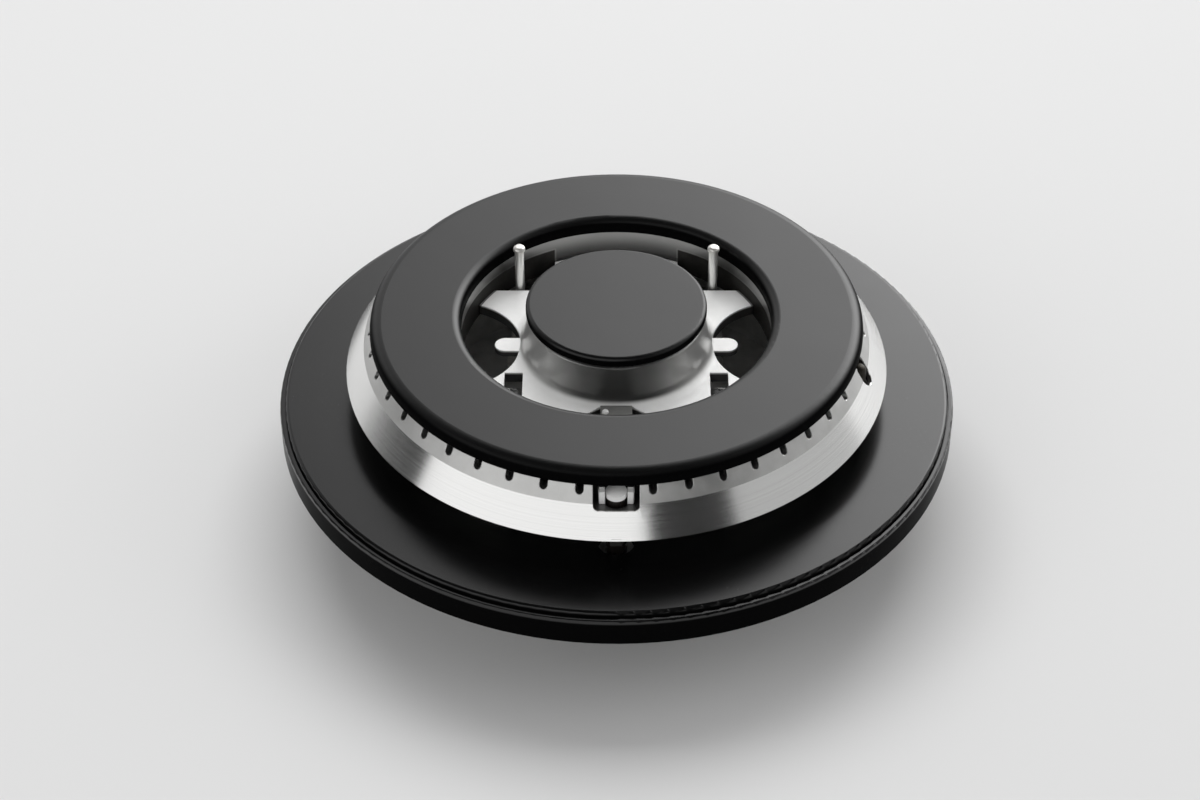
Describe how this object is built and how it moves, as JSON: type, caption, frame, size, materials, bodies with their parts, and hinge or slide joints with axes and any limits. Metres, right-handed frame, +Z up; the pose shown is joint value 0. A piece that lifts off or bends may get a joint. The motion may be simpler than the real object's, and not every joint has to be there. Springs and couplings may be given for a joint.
{
  "type": "gas cooktop wok burner",
  "caption": "Gas cooktop burner with a black base plate, a bright cast flame crown with turned skirt, a black ring cap and hub cap, and the cup, jets and gas inlets below.",
  "frame": {"origin": "on the burner's axis, in the plane of the hob's top surface", "axes": "+Z up, -Y towards the front, where the outer ignition window is"},
  "size_m": [0.181, 0.181, 0.0627],
  "materials": {
    "black_enamel": "satin vitreous enamel",
    "black_ring": "gloss black enamel",
    "cap_enamel": "matt vitreous enamel",
    "seal_rubber": "matt silicone",
    "cup_casting": "as die-cast",
    "manifold_casting": "as die-cast",
    "crown_casting": "die-cast, skirt turned",
    "crown_casting_inner": "turned",
    "bridge_casting": "as die-cast",
    "venturi_aluminium": "turned",
    "fastener_steel": "zinc plated",
    "electrode_steel": "satin",
    "post_steel": "satin",
    "probe_steel": "heat-stained",
    "jet_brass": "turned",
    "spark_ceramic": "glazed",
    "dark_ceramic": "brown glaze",
    "fibre_washer": "matt fibre"
  },
  "bodies": {
    "burner_base": {"base_plate": "black_enamel", "base_ring": "black_ring", "base_seal": "seal_rubber", "burner_cup": "cup_casting", "cup_gasket": "seal_rubber", "hob_studs": "fastener_steel", "hub_pedestal": "cup_casting", "pedestal_screws": "fastener_steel", "inner_injector": "jet_brass", "outer_injectors": "jet_brass", "gas_manifold": "manifold_casting", "manifold_seals": "fibre_washer", "manifold_screws": "fastener_steel", "manifold_plugs": "jet_brass", "outer_spark_insulator": "dark_ceramic", "outer_spark_electrode": "electrode_steel", "inner_spark_insulator": "spark_ceramic", "inner_spark_electrode": "post_steel", "spark_clips": "fastener_steel", "outer_thermocouple": "probe_steel", "inner_thermocouple": "post_steel", "thermocouple_nuts": "jet_brass"},
    "flame_crown": {"crown": "crown_casting", "outer_venturis": "venturi_aluminium", "inner_venturi": "venturi_aluminium", "crossover_bridge": "bridge_casting", "crossover_rivets": "fastener_steel", "hub_flame_ring": "crown_casting_inner"},
    "ring_cap": {"ring_cap": "cap_enamel"},
    "hub_cap": {"hub_cap": "cap_enamel"}
  },
  "joints": [
    {"name": "crown_lift", "type": "slide", "parent": "burner_base", "child": "flame_crown", "axis": [0, 0, 1], "range_m": [0, 0.045]},
    {"name": "ring_cap_lift", "type": "slide", "parent": "flame_crown", "child": "ring_cap", "axis": [0, 0, 1], "range_m": [0, 0.03]},
    {"name": "hub_cap_lift", "type": "slide", "parent": "flame_crown", "child": "hub_cap", "axis": [0, 0, 1], "range_m": [0, 0.03]}
  ]
}
